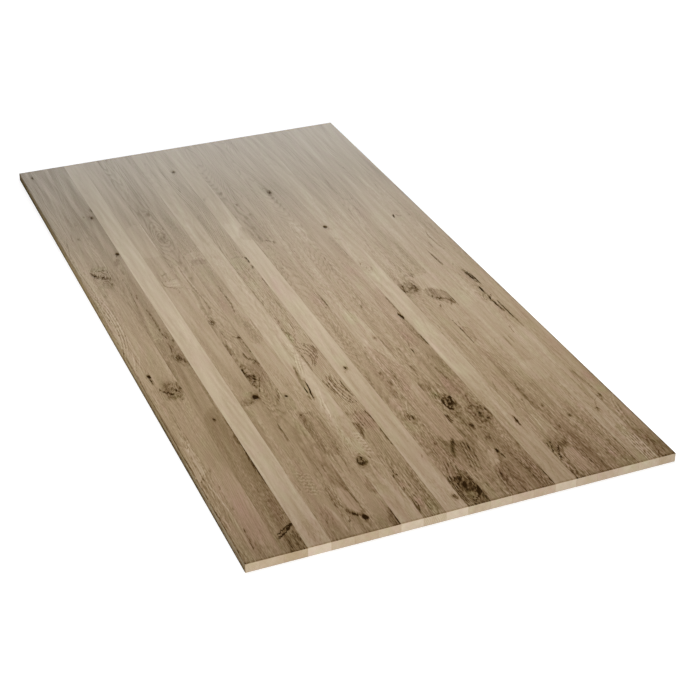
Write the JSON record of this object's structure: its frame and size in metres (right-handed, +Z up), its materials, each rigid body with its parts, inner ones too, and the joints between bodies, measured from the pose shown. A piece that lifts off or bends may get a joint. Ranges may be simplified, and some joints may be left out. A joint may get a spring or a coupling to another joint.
{
  "type": "glued laminated wood panel",
  "caption": "Flat rectangular solid hardwood panel, edge-glued from full-length parallel staves, with square trimmed sides and lightly eased edges.",
  "frame": {"origin": "middle of the underside, on the floor that the panel lies on", "axes": "+Y along the staves and the grain, +X across the staves towards the wider of the two trimmed outer staves, +Z up out of the top face"},
  "size_m": [0.9, 1.8, 0.02],
  "materials": {
    "oak_pale": "satin sanded, pale sapwood-rich stave",
    "oak_mid": "satin sanded, knotty mid-brown stave",
    "oak_brown": "satin sanded, dark brown knotty stave"
  },
  "bodies": {
    "root": {"stave_01": "oak_mid", "stave_02": "oak_mid", "stave_03": "oak_brown", "stave_04": "oak_pale", "stave_05": "oak_mid", "stave_06": "oak_brown", "stave_07": "oak_mid", "stave_08": "oak_pale", "stave_09": "oak_mid", "stave_10": "oak_pale", "stave_11": "oak_brown", "stave_12": "oak_mid", "stave_13": "oak_brown", "stave_14": "oak_brown", "stave_15": "oak_pale", "stave_16": "oak_mid", "stave_17": "oak_mid", "stave_18": "oak_mid", "stave_19": "oak_mid", "stave_20": "oak_brown"}
  },
  "joints": []
}
